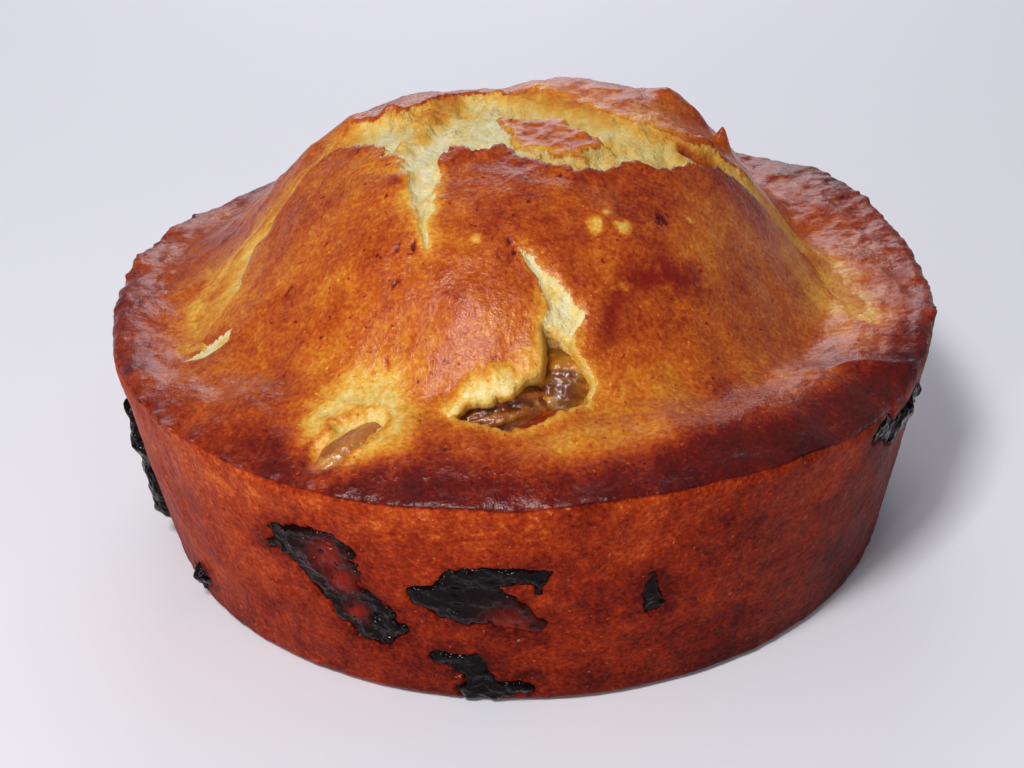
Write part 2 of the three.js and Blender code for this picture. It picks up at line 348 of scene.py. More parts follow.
def crack_sink(at):
    """How far the cracks, the small opening, the chip and the tears sink into the crust.

    The great crack gapes at the top and closes down both flanks. The front crust breaks off sharply; the
    back crust does so only where it tore, and elsewhere runs softly down into the crumb.
    """
    strands = 1 - np.abs(fractal(at.flat, 6, 4, seed=3)) * 2.4
    relief = 1.5 * strands - 0.8 + 1.1 * at.torn
    front_step = smooth(at.from_front, -0.2, 1.1)
    back_step = smooth(at.from_back / (9 - 3 * at.back_torn), -0.2, 1)
    island_step = smooth(-at.island, -1.2, 2.4)
    open_share = at.gape * front_step * back_step
    floor_share = open_share ** 3
    sink = island_step * (3.2 * open_share - relief * floor_share)
    sink += open_share * (1 - island_step) * (0.2 + 0.8 * at.torn)
    sink -= 3 * floor_share * bell(at.ridge, 3) * (1 + 0.4 * at.torn)
    sink += 3.5 * bell(at.gap, 0.9) * smooth(at.y, -12, -6)
    sink += smooth(at.narrow, -0.6, 1.5) * (1.9 - 0.5 * relief) * (1 - open_share)
    sink += smooth(at.seam, -0.3, 1.2) * (1.8 - 0.6 * relief)
    sink += smooth(at.dimple, -2, 3) * (0.1 + 0.7 * at.torn) + 1.5 * (1 - smooth(at.strip, 1.4, 4.4))
    sink += smooth(at.chip, -0.2, 0.5) * 0.5 + 0.9 * bell(at.fine, 0.9)
    sink += smooth(at.tears, -0.5, 0.5) * 0.7
    return sink


def crust_curl(at):
    """How far the crust curls up along its broken edges, most of all where the back crust tore."""
    front_curl = smooth(at.from_front, -5, -0.3) * (1 - smooth(at.from_front, -0.2, 1.1))
    back_curl = at.back_torn * smooth(at.from_back, -5, -0.3) * (1 - smooth(at.from_back, -0.3, 0.8))
    uneven = 0.8 + 2.2 * np.maximum(noise(at.flat, 5, seed=7), 0)
    return at.gape * (0.9 * front_curl + back_curl * uneven)


def whole_height(at):
    """The height of the crust where it is whole: the dome, its unevenness and lumps, and the brim."""
    height = dome_height(at.x, at.y)
    height = height + 1.1 * fractal(at.flat, 30, 3, seed=21) + 0.9 * fractal(at.flat, 10, 4, seed=25)
    height += 0.5 * smooth(at.y, -5, 15) * fractal(at.flat, 4, 3, seed=27)
    for lump_x, lump_y, size, rise in LUMPS:
        height += rise * bell(np.hypot(at.x - lump_x, at.y - lump_y), size)

    # The shoulder above the rim, fine wrinkles round the brim, and a fold at the right.
    shoulder = smooth(at.radius, 70, 84) * (1 - smooth(at.radius, 85, 100))
    height += shoulder * (0.4 + 4 * at.frontness)
    brim = smooth(at.radius, 78, 91) * (1 - smooth(at.radius, 97, 100))
    around = np.stack([at.angle * 22, at.radius / 2.2, np.zeros_like(at.x)], axis=1)
    height += brim * (0.7 - 0.3 * at.frontness) * fractal(around, 2.4, 3, seed=31)
    fold = distance_to_chain(at.x + 2 * at.torn, at.y, BRIM_FOLD)
    height += 1.8 * bell(fold, 2) * smooth(at.radius, 82, 88)
    return height


def opening_shape(at):
    """The large opening, which goes in square to the slope, and the thick lip on its upper left.

    Gives how much of a lip there is, and how far each place moves back and down.
    """
    slope = math.radians(OPENING_SLOPE)
    hole = 7 * smooth(at.opening, 0.2, 1.8)
    bitty = fractal(at.flat, 1.8, 3, seed=9)
    lip_side = smooth(7 - at.x, 0, 4) * smooth(at.y, -77, -73) * (1 - smooth(at.y, -66, -61))
    lip_width = 1.8 + 1.6 * smooth(at.x, -6, 0) + 1.2 * at.torn
    lip = lip_side * bell(at.opening + 1, lip_width) * (1 + 0.5 * bitty)
    push_in = hole - (0.9 + 0.8 * at.torn) * lip
    overhang = (2 + at.torn + bitty) * lip_side
    overhang = overhang * smooth(at.opening, -3, 0.4) * (1 - smooth(at.opening, 0.6, 1.6))
    back = math.sin(slope) * push_in - math.cos(slope) * overhang
    down = math.cos(slope) * push_in + math.sin(slope) * overhang
    return lip, back, down


def top_surface(x, y):
    """The crust at each (x, y): its points, and the numbers that its finish reads, by name."""
    at = crust_places(x, y)
    lip, back, down = opening_shape(at)
    edge = np.clip((at.radius - 96.5) / 3.5, 0, 1) ** 2
    ragged = rim_raggedness(at.angle)
    outwards = 1 + edge * (ragged - 0.8) / RIM_RADIUS
    height = whole_height(at) + (crust_curl(at) - crack_sink(at) + edge * (0.8 * ragged - 1.1)) - down
    crumb = np.maximum.reduce([
        np.minimum(np.minimum(at.from_front, at.from_back), -at.island),
        at.narrow,
        at.seam,
        at.chip,
        at.opening - 0.3 + 0.8 * noise(at.flat, 6, seed=13) + 0.8 * smooth(x, 9, 12),
    ])
    finish = {
        "brown": crust_brown(at) - 0.2 * lip,
        "crumb": crumb,
        "crumb_brown": crumb_brown(at),
        "stain": bell(distance_to_chain(x, y, PLUM_STAIN), 2.6),
        # The deep floor of the large opening, where the finish paints shade.
        "hole": smooth(at.opening, 1.2, 2.4),
        "near_plum": np.full(len(x), FAR_FROM_PLUMS),
    }
    return np.stack([x * outwards, y * outwards + back, height], axis=1), finish


def crust_brown(at):
    """How brown the crust is, from 0, raw dough, to 1, nearly black."""
    brown = 0.49 + 0.1 * fractal(at.flat, 24, 3, seed=41) + 0.08 * fractal(at.flat, 6, 3, seed=43)

    # Darker along the top edge of the front crust, paler beside the soft edge of the back crust.
    on_front_crust = smooth(-at.from_front, -0.6, 0.6)
    past_left = smooth(at.x, -26, -14)
    brown += 0.15 * np.exp(np.minimum(at.from_front, 0) / 7) * past_left * on_front_crust
    brown += 0.1 * np.exp(np.minimum(at.from_front, 0) / 3) * (1 - past_left) * on_front_crust * at.gape
    beside_back = np.exp(np.minimum(at.from_back + 5 * at.drift, 0) / 6)
    brown += smooth(-at.from_back, -1, 1) * (0.08 - 0.24 * beside_back * (1 - at.back_torn))
    on_island = smooth(at.island, -0.5, 0.5)
    brown += on_island * (0.06 - 0.26 * np.exp(-np.maximum(at.island, 0) / 1.5))
    brown -= 0.26 * on_island * (1 - smooth(at.from_front, 2.5, 5))

    # Darker towards the rim, on the right, round the tears and in two patches.
    patchy = 1 + 0.6 * fractal(at.flat, 16, 3, seed=45)
    brown += np.interp(at.radius, [72, 86, 93, 100], [0, 0.06, 0.13, 0.2]) * patchy
    brown += 0.17 * at.frontness * smooth(at.x, -66, -30) * smooth(at.radius, 86, 94)
    brown += 0.09 * smooth(at.x, 18, 44) * smooth(-at.y, 20, 50)
    brown += 0.3 * smooth(at.tears, -0.6, 0.3)
    for patch_x, patch_y, size, change in BROWN_PATCHES:
        brown += change * bell(np.hypot(at.x - patch_x, at.y - patch_y), size)

    # Paler round the openings, at the feet of the great crack's arms, and beside the finer cracks.
    for chain, width, change in PALE_STRIPES:
        brown -= change * bell(distance_to_chain(at.x, at.y, chain), width)
    brown -= 0.16 * bell(at.opening, 1.6)
    brown -= 0.38 * smooth(at.dimple, -7, 2) - 0.16 * bell(at.strip - 4.2, 1)
    brown -= 0.34 * smooth(at.spots, -0.9, 0.9) + 0.17 * bell(at.fine, 1.2)
    brown -= 0.22 * bell(np.minimum(at.narrow, 0), 2) * (1 - at.gape * smooth(at.from_front, -4, 0))
    brown -= 0.14 * bell(np.minimum(at.seam, 0), 1.6)
    return brown


def crumb_brown(at):
    """How brown the crumb in the cracks is: creamy, golden beside the back crust and along the ridge, and
    painted dark as shade in the gap under the back crust.
    """
    cream = np.interp(
        at.x,
        [-76, -66, -58, -48, -40, -34, -4, 14, 22, 44, 56, 76],
        [0.3, 0.12, 0.18, 0.24, 0.12, 0.07, 0.07, 0.18, 0.1, 0.1, 0.16, 0.3],
    )
    reach = np.interp(at.x, [-56, -44, -36, -8, 4, 38, 44, 54, 60], [8, 6, 2, 2, 4.5, 4.5, 2, 2, 6])
    gold = np.exp(-np.maximum(at.from_back + 5 * at.drift, 0) / reach)
    great_crack = cream + (0.42 - cream) * gold * (1 - 0.4 * at.back_torn)
    # Golden along the ridge; darker in the gap under the back crust, which is painted shade.
    great_crack += 0.26 * bell(at.ridge, 3.6) + 0.5 * bell(at.gap, 1.1)
    great_crack += 0.2 * at.drift * at.gape + 0.1 * at.torn
    on_lip = smooth(at.opening, -1.5, 0.5)
    return np.where(at.from_front > 0, great_crack, 0.07 + 0.15 * on_lip + 0.12 * at.torn)


# -------- pieces of plum at the side


# Each side plum: how far it stands out of the wall; its strokes of (across, up, half-width), from the
# middle of its place; and the red-brown windows of flesh in it, as (across, up, size).
SIDE_PLUMS = {
    "side_plum_01": (
        0.4,
        [
            [(-13, 10, 2.8), (-6, 13.5, 1.7), (1, 13.5, 1.5), (4, 10, 2)],
            [(-8, 9, 3.5), (-1, 8, 4), (3, 4, 3.5)],
            [(-11, 8, 3.6), (-5, 3, 5), (1, -3, 6.2), (6, -8, 7), (7.5, -11, 5.8)],
            [(9, -9, 4), (13.5, -10, 1.8)],
            [(-12, 8, 1.5), (-16.5, 5.5, 1)],
        ],
        [(-1, 8, 4), (2, 2, 3.4), (4, -7, 2.4)],
    ),
    "side_plum_02": (
        0.4,
        [
            [(-13, 1, 3), (-7, 0, 6), (0, 0, 6.5)],
            [(-5, 6, 3.2), (3, 7.5, 3), (13, 7.5, 2.2)],
            [(12.5, 7, 2), (12, 3, 1.3)],
            [(2, 0, 5), (7, -4, 4), (11, -6.5, 2.6)],
        ],
        [(6, -7, 5)],
    ),
    "side_plum_03": (
        0.4,
        [
            [(-10, 5, 1.6), (-6, 4, 2.6), (-2, 3, 3.6)],
            [(-2, 2, 3.2), (0, -3.5, 3.4)],
            [(-3.5, -5.5, 2.6), (3, -4.5, 2.8), (10, -3.8, 1.6)],
        ],
        [],
    ),
    "side_plum_04": (0.5, [[(-0.7, 5.2, 0.7), (0, 0, 1.5), (0.6, -4.4, 2.1)]], []),
    "side_plum_05": (
        3,
        [[(-1.5, 15, 1.5), (-1, 8, 2.5), (0, 0, 4.5), (1, -8, 5.5), (1, -13, 4.5)]],
        [],
    ),
    "side_plum_06": (
        2.6,
        [[(-3.5, 1, 0.9), (0, 0, 2.4), (3, 0.5, 1.2)], [(0, 3.5, 0.7), (0, 0, 2.4), (-1, -3.5, 0.7)]],
        [],
    ),
    "side_plum_07": (
        1.3,
        [
            [(-14, 3, 2), (-10, 4, 3), (-7, 1.5, 2.2)],
            [(-6, 0, 2.8), (1, -1, 4.5), (8, 0.5, 4), (12, 2, 2)],
        ],
        [],
    ),
    "side_plum_08": (
        1,
        [[(-9, -3, 2.5), (-3, -1, 5), (4, 2, 4.6), (9, 4, 2)], [(4, -1, 2.4), (7, -5, 1.4)]],
        [(0, 0, 4)],
    ),
    "side_plum_09": (0.8, [[(-7, 3, 2.6), (-1, 1, 4), (4, -3, 3), (8, -4, 1.8)]], []),
    "side_plum_10": (
        1,
        [[(-11, 2, 2), (-5, 1, 4.6), (3, -1, 5), (10, -2, 2.6)], [(-4, -2, 2), (-7, -5, 1.2)]],
        [(4, -2, 3.5)],
    ),
    "side_plum_11": (0.8, [[(-4, 9, 2), (-2, 3, 4), (2, -3, 4), (4, -9, 2)]], []),
    "side_plum_12": (
        1.1,
        [[(-8, -2, 2), (-2, -1, 4.4), (4, 1, 4), (8, 3, 2)], [(0, 3, 1.8), (-2, 6, 1)]],
        [],
    ),
}


def middle_of(node):
    """The middle of a piece's place in the frame."""
    low, high = (np.array(corner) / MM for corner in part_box(node))
    return (low + high) / 2


def place_on_wall(node):
    """The direction in radians and the height of the middle of a side plum's place."""
    x, y, height = middle_of(node)
    return math.atan2(y, x), height


def wall_radius(height):
    return BASE_RADIUS + (RIM_RADIUS - BASE_RADIUS) * height / RIM_HEIGHT


def base_rounding(height):
    """How far the wall draws in where it rounds into the base."""
    return 1.5 * smooth(-height, -2.2, 0) ** 2


def inside_strokes(across, up, strokes):
    """How far each place is inside the strokes of a side plum, negative outside."""
    deepest = np.full(len(across), -np.inf)
    for stroke in strokes:
        for (*start, width), (*end, end_width) in zip(stroke, stroke[1:]):
            distance, share = to_stretch(across, up, *start, *end)
            deepest = np.maximum(deepest, width + share * (end_width - width) - distance)
    return deepest


def side_plum_depth(angle, height, node):
    """How far each place of the wall is inside a side plum's ragged outline, negative outside."""
    direction, middle = place_on_wall(node)
    turn = np.angle(np.exp(1j * (angle - direction)))
    across = turn * wall_radius(middle)
    up = height - middle
    flat = np.stack([across, up, np.full_like(across, 40 * direction)], axis=1)
    ragged_across = across + 1.3 * fractal(flat, 3.6, 4, seed=51) + 0.5 * noise(flat, 1, seed=53)
    ragged_up = up + 1.3 * fractal(flat, 3.6, 4, seed=57) + 0.5 * noise(flat, 1, seed=59)
    _, strokes, _ = SIDE_PLUMS[node]
    return inside_strokes(ragged_across, ragged_up, strokes)


# -------- meshes


def put_in_scene(name, data):
    made = bpy.data.objects.new(name, data)
    bpy.context.collection.objects.link(made)
    return made


def make_object(name, points, faces, attributes, uv=None):
    """A smooth mesh object from points in millimetres, faces, and named numbers per point."""
    mesh = bpy.data.meshes.new(name)
    corners = np.concatenate([np.ravel(group) for group in faces])
    sizes = np.concatenate([np.full(len(group), group.shape[1]) for group in faces])
    starts = np.concatenate([[0], np.cumsum(sizes)[:-1]])
    mesh.vertices.add(len(points))
    mesh.vertices.foreach_set("co", (points * MM).ravel())
    mesh.loops.add(len(corners))
    mesh.loops.foreach_set("vertex_index", corners.astype(np.int32))
    mesh.polygons.add(len(sizes))
    mesh.polygons.foreach_set("loop_start", starts.astype(np.int32))
    mesh.polygons.foreach_set("loop_total", sizes.astype(np.int32))
    mesh.polygons.foreach_set("use_smooth", np.ones(len(sizes), bool))
    if uv is not None:
        mesh.uv_layers.new(name="OFBake").data.foreach_set("uv", uv.ravel())
    for key, values in attributes.items():
        mesh.attributes.new(key, "FLOAT", "POINT").data.foreach_set("value", values.astype(np.float32))
    mesh.update(calc_edges=True)
    mesh.validate()
    return put_in_scene(name, mesh)


def make_closed(name, points, quads, attributes):
    """A mesh object from those of the points that the quads use."""
    used, renumbered = np.unique(quads, return_inverse=True)
    kept = {key: values[used] for key, values in attributes.items()}
    return make_object(name, points[used], [renumbered.reshape(-1, 4)], kept)


def point_normals(points, quads):
    """Unit normals at the points, from the quads round each."""
    across = points[quads[:, 2]] - points[quads[:, 0]]
    along = points[quads[:, 3]] - points[quads[:, 1]]
    face = np.cross(across, along)
    total = np.zeros_like(points)
    for corner in range(4):
        np.add.at(total, quads[:, corner], face)
    return total / np.maximum(np.linalg.norm(total, axis=1, keepdims=True), 1e-9)


def open_edges(quads):
    """The edges that only one quad has, each as two points in that quad's direction."""
    edges = {}
    for a, b in np.concatenate([quads[:, [i, (i + 1) % 4]] for i in range(4)]).tolist():
        if (b, a) in edges:
            del edges[(b, a)]
        else:
            edges[(a, b)] = True
    return list(edges)


def grid_quads(rows, columns):
    """The quads of a grid whose points are numbered row by row."""
    index = np.arange(rows * columns).reshape(rows, columns)
    corners = [index[:-1, :-1], index[:-1, 1:], index[1:, 1:], index[1:, :-1]]
    return np.stack([corner.ravel() for corner in corners], axis=1)


def disc_grid(count):
    """A square grid of count by count points bent into a disc of radius 1, its quads and its border."""
    line = np.linspace(-1, 1, count)
    u, v = (part.ravel() for part in np.meshgrid(line, line))
    wide = np.abs(u) >= np.abs(v)
    reach = np.where(wide, u, v)
    with np.errstate(divide="ignore", invalid="ignore"):
        turn = np.where(wide, np.pi / 4 * v / u, np.pi / 2 - np.pi / 4 * u / v)
    turn = np.nan_to_num(turn)
    index = np.arange(count * count).reshape(count, count)
    border = np.concatenate([index[0, :-1], index[:-1, -1], index[-1, :0:-1], index[:0:-1, 0]])
    return reach * np.cos(turn), reach * np.sin(turn), grid_quads(count, count), border


def top_uv(count):
    """The texture places of the top's grid points: a square that fills 0.6 of the texture."""
    line = np.linspace(0.01, 0.61, count)
    across, along = np.meshgrid(line, line)
    return np.stack([across.ravel(), along.ravel()], axis=1)


def wall_uv(angle, ring_count):
    """The texture places of the corners of the wall's and base's faces: two strips and a small disc."""
    columns = len(angle)
    half = columns // 2
    column = np.arange(columns)
    strip = column // half
    next_angle = np.roll(angle, -1)

    def on_strip(row, corner_column):
        across = 0.01 + 0.97 * (corner_column - strip * half) / half
        return np.stack([across, 0.63 + 0.18 * strip + 0.17 * row / ring_count], axis=1)

    def on_disc(share, turn):
        return np.stack([0.81 + 0.16 * share * np.cos(turn), 0.31 + 0.16 * share * np.sin(turn)], axis=1)

    faces = []
    for row in range(ring_count):
        left = [on_strip(row, column), on_strip(row + 1, column)]
        faces.append([*left, on_strip(row + 1, column + 1), on_strip(row, column + 1)])
    shares = [1, *BASE_SHARES]
    for outer, inner in zip(shares, shares[1:]):
        left = [on_disc(outer, angle), on_disc(inner, angle)]
        faces.append([*left, on_disc(inner, next_angle), on_disc(outer, next_angle)])
    faces.append([on_disc(shares[-1], angle), on_disc(0, angle), on_disc(shares[-1], next_angle)])
    return np.concatenate([np.stack(corners, axis=1).reshape(-1, 2) for corners in faces])


def wall_ring(angle, rim_heights, share):
    """The side wall's ring at a share of the rim's height: points, depth in a plum, and brownness with
    painted light and shade on it.
    """
    height = rim_heights * share
    around = round_the_axis(NOISE_RADIUS, angle, height)
    radius = wall_radius(height * RIM_HEIGHT / np.maximum(rim_heights, 1)) - base_rounding(height)
    radius += 0.5 * (0.7 * fractal(around, 14, 3, seed=61) + 0.25 * fractal(around, 2.2, 3, seed=65))
    radius += smooth(share, 0.94, 1) ** 2 * (rim_raggedness(angle) - 0.8)
    near_plum = np.full(len(angle), FAR_FROM_PLUMS)
    for node in SIDE_PLUMS:
        near_plum = np.maximum(near_plum, side_plum_depth(angle, height, node))
    radius -= 1.2 * smooth(near_plum, -0.3, 0.6)
    # Painted light and shade on the browning: paler near the rim, darker towards the right and the
    # bottom, as if lit from the upper left.
    brown = 0.7 + 0.08 * np.cos(angle - 0.3) - 0.04 * smooth(share, 0.6, 0.98) + 0.12 * (1 - share) ** 2
    return round_the_axis(radius, angle, height), near_plum, brown


def wall_and_base(angle, rim_heights, ring_count):
    """The rings of the wall, going down, and of the base, going in, joined: the same three arrays."""
    rings = []
    for share in np.linspace(1, 0, ring_count + 1)[1:]:
        rings.append(wall_ring(angle, rim_heights, share))
    foot = rings[-1][0]
    far = np.full(len(angle), FAR_FROM_PLUMS)
    for share in BASE_SHARES:
        rings.append((foot * (share, share, 0), far, np.full(len(angle), BASE_BROWN)))
    rings.append((np.zeros((1, 3)), [FAR_FROM_PLUMS], [BASE_BROWN]))
    return [np.concatenate(parts) for parts in zip(*rings)]


def ring_faces(border, first, last):
    """Quads from the top's border through the rings numbered from first, and a fan to the last point."""
    rings = np.arange(first, last).reshape(-1, len(border))
    loops = [border, *rings]
    quads = []
    for upper, lower in zip(loops, loops[1:]):
        quads.append(np.stack([upper, lower, np.roll(lower, -1), np.roll(upper, -1)], axis=1))
    fan = np.stack([rings[-1], np.full(len(border), last), np.roll(rings[-1], -1)], axis=1)
    return np.concatenate(quads), fan


def build_cake():
    """The baked cake as one closed mesh, and each face's material: 0 on top, 1 on the side and base."""
    count = 331
    ring_count = 84
    u, v, top_quads, border = disc_grid(count)
    top_points, top = top_surface(u * RIM_RADIUS, v * RIM_RADIUS)
    angle = np.arctan2(v[border], u[border])
    wall_points, near_plum, wall_brown_and_shade = wall_and_base(angle, top_points[border, 2], ring_count)
    points = np.concatenate([top_points, wall_points])
    wall_quads, fan = ring_faces(border, len(top_points), len(points) - 1)
    quads = np.concatenate([top_quads, wall_quads])

    # Fine grain along the normals, which leaves the base flat.
    fine = 0.12 * fractal(points, 2.6, 3, seed=71) + 0.05 * noise(points, 0.9, seed=75)
    points = points + point_normals(points, quads) * fine[:, None]
    points[:, 2] = np.maximum(points[:, 2], 0)
    foot_start = len(top_points) + (ring_count - 1) * len(border)
    points[foot_start:, 2] = 0

    wall = {"brown": wall_brown_and_shade, "near_plum": near_plum}
    wall |= {"crumb": FAR_FROM_CRUMB, "crumb_brown": 0.5, "stain": 0, "hole": 0}
    attributes = {}
    for key, values in wall.items():
        attributes[key] = np.concatenate([top[key], np.broadcast_to(values, len(wall_points))])
    uv = np.concatenate([top_uv(count)[top_quads].reshape(-1, 2), wall_uv(angle, ring_count)])
    face_materials = np.zeros(len(quads) + len(fan), np.int32)
    face_materials[len(top_quads):] = 1
    return make_object("baked_cake", points, [quads, fan], attributes, uv), face_materials


def sheet_over_plum(strokes):
    """A grid of places round a side plum's strokes: how far across and up each is, and its quads."""
    spacing = 0.36
    ends = np.array([point for stroke in strokes for point in stroke])
    margin = ends[:, 2].max() + 2
    lows = ends[:, :2].min(axis=0) - margin
    highs = ends[:, :2].max(axis=0) + margin
    columns, rows = np.ceil((highs - lows) / spacing).astype(int) + 1
    line = np.linspace(lows[0], highs[0], columns)
    across, up = np.meshgrid(line, np.linspace(lows[1], highs[1], rows))
    return across.ravel(), up.ravel(), grid_quads(rows, columns)


def build_side_plum(node):
    """A side plum as a closed sheet that follows the wall: its face stands out, its edge sinks in."""
    proud, strokes, windows = SIDE_PLUMS[node]
    direction, middle = place_on_wall(node)
    across, up, quads = sheet_over_plum(strokes)
    angle = direction + across / wall_radius(middle)
    depth = side_plum_depth(angle, middle + up, node)

    # The face, and a back that stays inside the cake.
    flat = np.stack([across, up, np.full_like(across, 30 * direction)], axis=1)
    relief = 1.2 * fractal(flat, 4.4, 2, seed=81) + 0.35 * noise(flat, 1.8, seed=85)
    body = smooth(depth, -0.7, 1)
    out = -0.9 + body * (0.9 + proud * (0.4 + 0.6 * smooth(depth, 0, 4))) + body * relief
    height = np.maximum(middle + up, 0.05)
    face = round_the_axis(wall_radius(height) + out - base_rounding(height), angle, height)
    back = round_the_axis(wall_radius(height) - PLUM_DEPTH, angle, height)

    quads = quads[(depth[quads] > -1).all(axis=1) & (middle + up[quads] > -0.5).all(axis=1)]
    sides = np.array([(b, a, a + len(face), b + len(face)) for a, b in open_edges(quads)])
    window = np.zeros(len(across))
    for window_across, window_up, size in windows:
        window = np.maximum(window, bell(np.hypot(across - window_across, up - window_up), size))
    name = node.replace("side_plum", "caramel_plum")
    quads = np.concatenate([quads, quads[:, ::-1] + len(face), sides])
    return make_closed(name, np.concatenate([face, back]), quads, {"window": np.tile(window, 2)})


# -------- plums in the openings

# Each: half its sizes, the tilt of the slope that it lies on and its turn in that slope in degrees, how
# deep its wrinkles are, and the seed of its folds.
OPEN_PLUMS = {
    "crater_plum_left": ((12.5, 7.5, 6), OPENING_SLOPE, 14, 1, 3),
    "crater_plum_front": ((13, 7, 6), OPENING_SLOPE, 26, 0.35, 5),
    "crater_plum_right": ((7.5, 10.5, 6), OPENING_SLOPE, -10, 0.8, 7),
    "dimple_plum": ((8.6, 4.2, 2.1), 22, 36, 0.4, 9),
}


def ball(count):
    """A ball of radius 1, made of two discs of count by count points, and its quads."""
    u, v, quads, border = disc_grid(count)
    turn = np.arctan2(v, u)
    polar = np.hypot(u, v) * np.pi / 2
    upper = np.stack([np.sin(polar) * np.cos(turn), np.sin(polar) * np.sin(turn), np.cos(polar)], axis=1)
    twin = np.arange(len(upper)) + len(upper)
    twin[border] = border
    return np.concatenate([upper, upper * (1, 1, -1)]), np.concatenate([quads, twin[quads[:, ::-1]]])


def build_open_plum(node):
    """A cooked plum half: a rounded body with folds along it, lying on the slope of its opening."""
    half, slope, turn, wrinkle, seed = OPEN_PLUMS[node]
    points, quads = ball(90)
    shaped = points * half
    folds = fractal(shaped * (0.35, 1.6, 1), 3, 3, seed=seed)
    lumps = fractal(shaped, 7, 2, seed=seed + 20)
    swell = wrinkle * (0.8 * folds + 0.25 * noise(shaped, 1.1, seed=93)) + 0.6 * lumps
    normals = points / half
    normals /= np.linalg.norm(normals, axis=1, keepdims=True)
    shaped = shaped + normals * swell[:, None]
    tilt = Matrix.Rotation(math.radians(slope), 3, "X") @ Matrix.Rotation(math.radians(turn), 3, "Z")
    placed = shaped @ np.array(tilt).T + middle_of(node)
    return make_closed(node + "_flesh", placed, quads, {"fold": folds})


# -------- materials


def srgb(red, green, blue):
    """A colour given as 0 to 255 screen values, as the linear colour that shaders use."""
    linear = []
    for value in (red, green, blue):
        share = value / 255
        linear.append(share / 12.92 if share <= 0.04045 else ((share + 0.055) / 1.055) ** 2.4)
    return (*linear, 1)


class Finish:
    """A material being built: short ways to add nodes and join them."""

    def __init__(self, name):
        self.material = bpy.data.materials.new(name)
        self.material.use_nodes = True
        self.tree = self.material.node_tree
        self.shader = self.tree.nodes["Principled BSDF"]
        self.place = self.node("TexCoord").outputs["Object"]

    def node(self, kind, inputs=None, **settings):
        made = self.tree.nodes.new("ShaderNode" + kind)
        for name, value in settings.items():
            setattr(made, name, value)
        self.feed(made, inputs or {})
        return made

    def feed(self, made, inputs):
        for name, value in inputs.items():
            if isinstance(value, bpy.types.NodeSocket):
                self.tree.links.new(value, made.inputs[name])
            else:
                made.inputs[name].default_value = value

    def math(self, operation, *values, clamp=False):
        return self.node("Math", dict(enumerate(values)), operation=operation, use_clamp=clamp).outputs[0]

    def number(self, name):
        return self.node("Attribute", attribute_name=name).outputs["Fac"]

    def noise(self, size, detail=3, roughness=0.5, offset=0):
        """Noise from 0 to 1 with features about size millimetres across."""
        place = self.place
        if offset:
            place = self.node("Mapping", {"Vector": place, "Location": [offset] * 3}).outputs[0]
        inputs = {"Vector": place, "Scale": 1 / (size * MM), "Detail": detail, "Roughness": roughness}
        return self.node("TexNoise", inputs).outputs["Fac"]

    def ramp(self, value, stops):
        """A colour ramp; stops are (position, colour)."""
        made = self.node("ValToRGB", {"Fac": value})
        elements = made.color_ramp.elements
        while len(elements) < len(stops):
            elements.new(1)
        for element, (position, colour) in zip(elements, stops):
            element.position = position
            element.color = colour
        return made.outputs["Color"]

    def range(self, value, low, high, to_low=0, to_high=1):
        """Moves a value smoothly from the range low to high to the range to_low to to_high."""
        inputs = {"Value": value, "From Min": low, "From Max": high, "To Min": to_low, "To Max": to_high}
        return self.node("MapRange", inputs, interpolation_type="SMOOTHSTEP").outputs["Result"]

    def mix(self, share, first, second):
        """The first colour where share is 0, the second where it is 1."""
        made = self.node("Mix", data_type="RGBA")
        self.feed(made, {0: share, 6: first, 7: second})
        return made.outputs[2]

    def bump(self, heights):
        """Bumps laid one on another: heights is a list of (socket, millimetres)."""
        normal = None
        for height, depth in heights:
            made = self.node("Bump", {"Height": height, "Distance": depth * MM, "Strength": 1})
            if normal:
                self.tree.links.new(normal, made.inputs["Normal"])
            normal = made.outputs["Normal"]
        return normal

    def finish(self, **inputs):
        """Feeds the shader; base_color=... goes to the socket Base Color, and so on."""
        for name, value in inputs.items():
            self.feed(self.shader, {name.replace("_", " ").title().replace("Ior", "IOR"): value})
        return self.material


# The colours of dough by how brown it is, from 0, raw, to 1, nearly black: on top, and at the side.
BAKING = [
    (0.0, srgb(234, 224, 182)),
    (0.13, srgb(230, 202, 120)),
    (0.26, srgb(226, 168, 62)),
    (0.4, srgb(208, 124, 32)),
    (0.52, srgb(186, 84, 16)),
    (0.66, srgb(148, 46, 8)),
    (0.8, srgb(104, 16, 4)),
    (1.0, srgb(64, 8, 6)),
]
WALL_BAKING = [
    (0.3, srgb(226, 150, 74)),
    (0.44, srgb(204, 104, 38)),
    (0.56, srgb(170, 62, 18)),
    (0.68, srgb(138, 38, 10)),
    (0.84, srgb(90, 16, 6)),
    (1.0, srgb(40, 8, 6)),
]


def mottled(m, brown, large=0.26, middle=0.26, fine=0.44):
    """A browning made uneven by noise of three sizes; large, middle and fine say how much of each."""
    for size, share, offset in [(13, large, 0), (3.2, middle, 0.31), (1, fine, 0.57)]:
        wave = m.math("SUBTRACT", m.noise(size, 3, 0.6, offset=offset), 0.5)
        brown = m.math("ADD", brown, m.math("MULTIPLY", wave, share))
    return brown


def pale_specks(m, size, most):
    """Up to most where there are scattered specks about size millimetres across, and 0 elsewhere."""
    return m.range(m.noise(size, 2, 0.5, offset=0.61), 0.68, 0.78, 0, most)


def dark_specks(m, size, full_at, most):
    """The same at other places; a lower full_at makes their edges softer."""
    return m.range(m.noise(size, 2, 0.5, offset=0.73), 0.34, full_at, 0, most)


